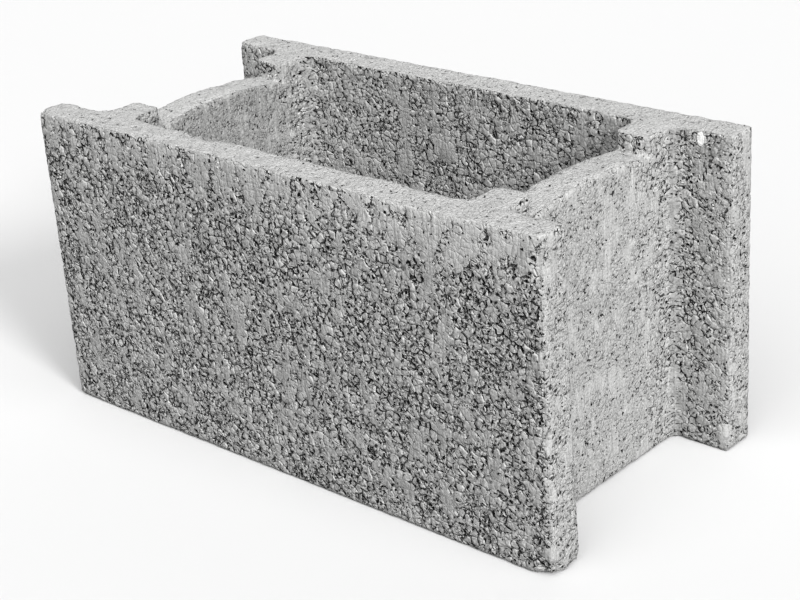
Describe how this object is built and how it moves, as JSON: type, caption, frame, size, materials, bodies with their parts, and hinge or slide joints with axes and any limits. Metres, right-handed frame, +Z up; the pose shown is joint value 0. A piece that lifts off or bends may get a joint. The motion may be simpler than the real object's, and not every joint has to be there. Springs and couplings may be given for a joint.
{
  "type": "concrete shuttering block",
  "caption": "Hollow concrete shuttering block: long face shells joined by cross webs round an open cell, with recessed ends and a notch in each web top for a bar.",
  "frame": {"origin": "middle of the bed face, on the floor the block stands on", "axes": "+X along the block's length, +Y from one long face to the other, +Z up as laid and as cast"},
  "size_m": [0.5, 0.25, 0.25],
  "materials": {
    "concrete": "raw grey cast concrete, open-textured and matt"
  },
  "bodies": {
    "root": {"block": "concrete"}
  },
  "joints": []
}
